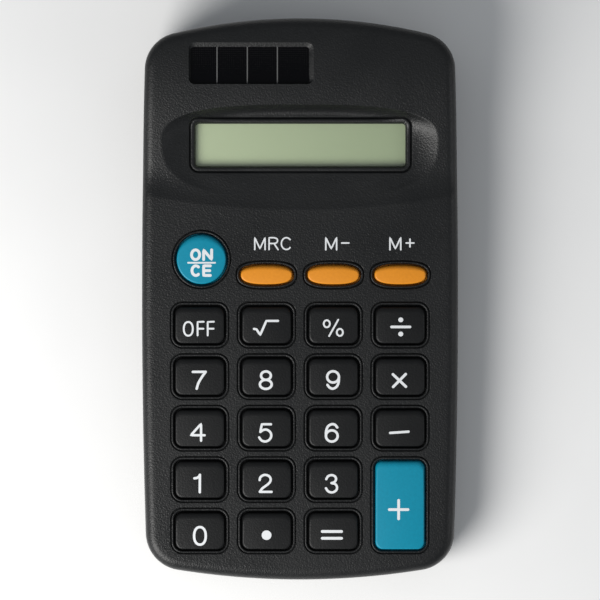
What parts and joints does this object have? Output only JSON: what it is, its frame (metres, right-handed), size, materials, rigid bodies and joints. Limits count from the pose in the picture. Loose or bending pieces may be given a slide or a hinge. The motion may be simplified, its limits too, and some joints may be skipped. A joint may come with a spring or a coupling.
{
  "type": "pocket calculator",
  "caption": "Handheld pocket calculator: black wedge case with curved ends, display in an oval scoop, solar cell, sprung keys and a sliding battery door.",
  "frame": {"origin": "centre of the bounding box in X and Y, on the plane of the four feet under the back", "axes": "+X the calculator's right seen from the front, +Y towards the display end, +Z out of the key face; it lies on its back"},
  "size_m": [0.065, 0.115, 0.019],
  "materials": {
    "case_black": "moulded matt black ABS with a fine grain",
    "key_black": "satin black moulded plastic with white printed legends",
    "key_blue": "satin blue-green moulded plastic with white printed legends",
    "key_orange": "satin orange moulded plastic, no legend",
    "clear_plastic": "clear polished acrylic window",
    "display_green": "grey-green polarising film",
    "glass": "thin clear display glass",
    "reflector_foil": "brushed foil reflector",
    "ribbon_amber": "thin amber film with printed conductor lines",
    "solar_dark": "near-black amorphous silicon cells behind glass, pale lines between the cells",
    "rubber_grey": "matt silicone rubber",
    "board_brown": "phenolic paper laminate with green lacquer and carbon pads",
    "epoxy_black": "moulded black epoxy",
    "component": "beige lacquer with colour bands",
    "battery_jacket": "plain printed film sleeve over a metal can, bare metal ends",
    "spring_steel": "nickel-plated spring steel",
    "screw_steel": "zinc-plated steel",
    "wire_red": "red insulated stranded wire",
    "wire_black": "black insulated stranded wire"
  },
  "bodies": {
    "case": {"back_shell": "case_black", "battery": "battery_jacket", "battery_lead_negative": "wire_black", "battery_lead_positive": "wire_red", "battery_spring": "spring_steel", "board_screw_1": "screw_steel", "board_screw_2": "screw_steel", "board_screw_3": "screw_steel", "board_screw_4": "screw_steel", "board_screw_5": "screw_steel", "board_screw_6": "screw_steel", "capacitor": "epoxy_black", "case_screw_1": "screw_steel", "case_screw_2": "screw_steel", "case_screw_3": "screw_steel", "case_screw_4": "screw_steel", "chip_cover": "epoxy_black", "circuit_board": "board_brown", "diode": "epoxy_black", "display_front_glass": "glass", "display_polariser": "display_green", "display_rear_glass": "glass", "display_reflector": "reflector_foil", "display_retainer": "case_black", "display_ribbon": "ribbon_amber", "display_window": "clear_plastic", "dome_sheet": "rubber_grey", "front_shell": "case_black", "negative_contact": "spring_steel", "positive_contact": "spring_steel", "resistor": "component", "solar_cell": "solar_dark", "solar_lead_left": "wire_black", "solar_lead_right": "wire_red"},
    "key_on_ce": {"key_on_ce": "key_blue"},
    "key_mrc": {"key_mrc": "key_orange"},
    "key_m_minus": {"key_m_minus": "key_orange"},
    "key_m_plus": {"key_m_plus": "key_orange"},
    "key_off": {"key_off": "key_black"},
    "key_square_root": {"key_square_root": "key_black"},
    "key_percent": {"key_percent": "key_black"},
    "key_divide": {"key_divide": "key_black"},
    "key_7": {"key_7": "key_black"},
    "key_8": {"key_8": "key_black"},
    "key_9": {"key_9": "key_black"},
    "key_multiply": {"key_multiply": "key_black"},
    "key_4": {"key_4": "key_black"},
    "key_5": {"key_5": "key_black"},
    "key_6": {"key_6": "key_black"},
    "key_minus": {"key_minus": "key_black"},
    "key_1": {"key_1": "key_black"},
    "key_2": {"key_2": "key_black"},
    "key_3": {"key_3": "key_black"},
    "key_plus": {"key_plus": "key_blue"},
    "key_0": {"key_0": "key_black"},
    "key_point": {"key_point": "key_black"},
    "key_equals": {"key_equals": "key_black"},
    "battery_door": {"battery_door": "case_black"}
  },
  "joints": [
    {"name": "key_on_ce_press", "type": "slide", "parent": "case", "child": "key_on_ce", "axis": [0, 0.0523, -0.9986], "range_m": [0, 0.0012], "stiffness_N_per_m": 600, "springref_m": -0.0003, "deforming": ["dome_sheet"]},
    {"name": "key_mrc_press", "type": "slide", "parent": "case", "child": "key_mrc", "axis": [0, 0.0523, -0.9986], "range_m": [0, 0.0012], "stiffness_N_per_m": 600, "springref_m": -0.0003, "deforming": ["dome_sheet"]},
    {"name": "key_m_minus_press", "type": "slide", "parent": "case", "child": "key_m_minus", "axis": [0, 0.0523, -0.9986], "range_m": [0, 0.0012], "stiffness_N_per_m": 600, "springref_m": -0.0003, "deforming": ["dome_sheet"]},
    {"name": "key_m_plus_press", "type": "slide", "parent": "case", "child": "key_m_plus", "axis": [0, 0.0523, -0.9986], "range_m": [0, 0.0012], "stiffness_N_per_m": 600, "springref_m": -0.0003, "deforming": ["dome_sheet"]},
    {"name": "key_off_press", "type": "slide", "parent": "case", "child": "key_off", "axis": [0, 0.0523, -0.9986], "range_m": [0, 0.0012], "stiffness_N_per_m": 600, "springref_m": -0.0003, "deforming": ["dome_sheet"]},
    {"name": "key_square_root_press", "type": "slide", "parent": "case", "child": "key_square_root", "axis": [0, 0.0523, -0.9986], "range_m": [0, 0.0012], "stiffness_N_per_m": 600, "springref_m": -0.0003, "deforming": ["dome_sheet"]},
    {"name": "key_percent_press", "type": "slide", "parent": "case", "child": "key_percent", "axis": [0, 0.0523, -0.9986], "range_m": [0, 0.0012], "stiffness_N_per_m": 600, "springref_m": -0.0003, "deforming": ["dome_sheet"]},
    {"name": "key_divide_press", "type": "slide", "parent": "case", "child": "key_divide", "axis": [0, 0.0523, -0.9986], "range_m": [0, 0.0012], "stiffness_N_per_m": 600, "springref_m": -0.0003, "deforming": ["dome_sheet"]},
    {"name": "key_7_press", "type": "slide", "parent": "case", "child": "key_7", "axis": [0, 0.0523, -0.9986], "range_m": [0, 0.0012], "stiffness_N_per_m": 600, "springref_m": -0.0003, "deforming": ["dome_sheet"]},
    {"name": "key_8_press", "type": "slide", "parent": "case", "child": "key_8", "axis": [0, 0.0523, -0.9986], "range_m": [0, 0.0012], "stiffness_N_per_m": 600, "springref_m": -0.0003, "deforming": ["dome_sheet"]},
    {"name": "key_9_press", "type": "slide", "parent": "case", "child": "key_9", "axis": [0, 0.0523, -0.9986], "range_m": [0, 0.0012], "stiffness_N_per_m": 600, "springref_m": -0.0003, "deforming": ["dome_sheet"]},
    {"name": "key_multiply_press", "type": "slide", "parent": "case", "child": "key_multiply", "axis": [0, 0.0523, -0.9986], "range_m": [0, 0.0012], "stiffness_N_per_m": 600, "springref_m": -0.0003, "deforming": ["dome_sheet"]},
    {"name": "key_4_press", "type": "slide", "parent": "case", "child": "key_4", "axis": [0, 0.0523, -0.9986], "range_m": [0, 0.0012], "stiffness_N_per_m": 600, "springref_m": -0.0003, "deforming": ["dome_sheet"]},
    {"name": "key_5_press", "type": "slide", "parent": "case", "child": "key_5", "axis": [0, 0.0523, -0.9986], "range_m": [0, 0.0012], "stiffness_N_per_m": 600, "springref_m": -0.0003, "deforming": ["dome_sheet"]},
    {"name": "key_6_press", "type": "slide", "parent": "case", "child": "key_6", "axis": [0, 0.0523, -0.9986], "range_m": [0, 0.0012], "stiffness_N_per_m": 600, "springref_m": -0.0003, "deforming": ["dome_sheet"]},
    {"name": "key_minus_press", "type": "slide", "parent": "case", "child": "key_minus", "axis": [0, 0.0523, -0.9986], "range_m": [0, 0.0012], "stiffness_N_per_m": 600, "springref_m": -0.0003, "deforming": ["dome_sheet"]},
    {"name": "key_1_press", "type": "slide", "parent": "case", "child": "key_1", "axis": [0, 0.0523, -0.9986], "range_m": [0, 0.0012], "stiffness_N_per_m": 600, "springref_m": -0.0003, "deforming": ["dome_sheet"]},
    {"name": "key_2_press", "type": "slide", "parent": "case", "child": "key_2", "axis": [0, 0.0523, -0.9986], "range_m": [0, 0.0012], "stiffness_N_per_m": 600, "springref_m": -0.0003, "deforming": ["dome_sheet"]},
    {"name": "key_3_press", "type": "slide", "parent": "case", "child": "key_3", "axis": [0, 0.0523, -0.9986], "range_m": [0, 0.0012], "stiffness_N_per_m": 600, "springref_m": -0.0003, "deforming": ["dome_sheet"]},
    {"name": "key_plus_press", "type": "slide", "parent": "case", "child": "key_plus", "axis": [0, 0.0523, -0.9986], "range_m": [0, 0.0012], "stiffness_N_per_m": 600, "springref_m": -0.0003, "deforming": ["dome_sheet"]},
    {"name": "key_0_press", "type": "slide", "parent": "case", "child": "key_0", "axis": [0, 0.0523, -0.9986], "range_m": [0, 0.0012], "stiffness_N_per_m": 600, "springref_m": -0.0003, "deforming": ["dome_sheet"]},
    {"name": "key_point_press", "type": "slide", "parent": "case", "child": "key_point", "axis": [0, 0.0523, -0.9986], "range_m": [0, 0.0012], "stiffness_N_per_m": 600, "springref_m": -0.0003, "deforming": ["dome_sheet"]},
    {"name": "key_equals_press", "type": "slide", "parent": "case", "child": "key_equals", "axis": [0, 0.0523, -0.9986], "range_m": [0, 0.0012], "stiffness_N_per_m": 600, "springref_m": -0.0003, "deforming": ["dome_sheet"]},
    {"name": "battery_door_slide", "type": "slide", "parent": "case", "child": "battery_door", "axis": [0, 1, 0], "range_m": [0, 0.024]}
  ]
}
